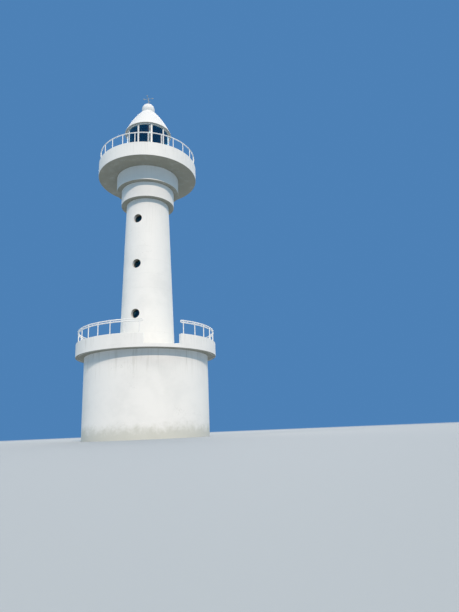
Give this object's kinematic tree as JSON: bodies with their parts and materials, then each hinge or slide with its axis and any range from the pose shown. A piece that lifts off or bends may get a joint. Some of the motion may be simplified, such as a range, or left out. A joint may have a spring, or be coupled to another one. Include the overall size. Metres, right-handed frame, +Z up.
{
  "type": "lighthouse",
  "caption": "Round white lighthouse: wide base with walled terrace, tapering shaft with portholes, stepped collars, walled gallery, glazed lantern under a bell roof.",
  "frame": {"origin": "centre of the underside of the foundation, on the ground", "axes": "+Z up; -Y is the side that the portholes look to; +Y is the side of the doors"},
  "size_m": [6.5858, 6.5858, 18.3745],
  "materials": {
    "wall_render": "white masonry paint on smooth cement render",
    "guard_paint": "white gloss paint on steel tube",
    "lantern_paint": "white gloss paint",
    "roof_paint": "white paint on sheet metal",
    "window_glass": "clear glass, dark behind",
    "porthole_metal": "dark paint, weathered",
    "door_paint": "pale grey paint",
    "rod_metal": "galvanised, dull"
  },
  "bodies": {
    "root": {"foundation_slab": "wall_render", "base_wall_front": "wall_render", "base_wall_right": "wall_render", "base_wall_left": "wall_render", "base_wall_lintel": "wall_render", "entrance_door_frame": "door_paint", "entrance_door": "door_paint", "tower_foot_right": "wall_render", "tower_foot_left": "wall_render", "tower_foot_lintel": "wall_render", "terrace_slab": "wall_render", "terrace_parapet_right": "wall_render", "terrace_parapet_left": "wall_render", "terrace_balusters": "guard_paint", "terrace_rail_right": "guard_paint", "terrace_rail_left": "guard_paint", "terrace_rail_spacers": "guard_paint", "shaft_wall_front": "wall_render", "shaft_wall_right": "wall_render", "shaft_wall_back": "wall_render", "shaft_wall_left": "wall_render", "porthole_frames": "porthole_metal", "porthole_glass": "window_glass", "terrace_door_frame": "door_paint", "terrace_door": "door_paint", "lower_collar": "wall_render", "upper_collar": "wall_render", "gallery_slab": "wall_render", "gallery_parapet_right": "wall_render", "gallery_parapet_left": "wall_render", "gallery_balusters": "guard_paint", "gallery_rail_right": "guard_paint", "gallery_rail_left": "guard_paint", "lantern_base_wall": "wall_render", "lantern_posts": "lantern_paint", "lantern_glass": "window_glass", "lantern_door": "lantern_paint", "lantern_head_ring": "lantern_paint", "roof": "roof_paint", "ball_ventilator": "roof_paint", "lightning_rod": "rod_metal"}
  },
  "joints": []
}
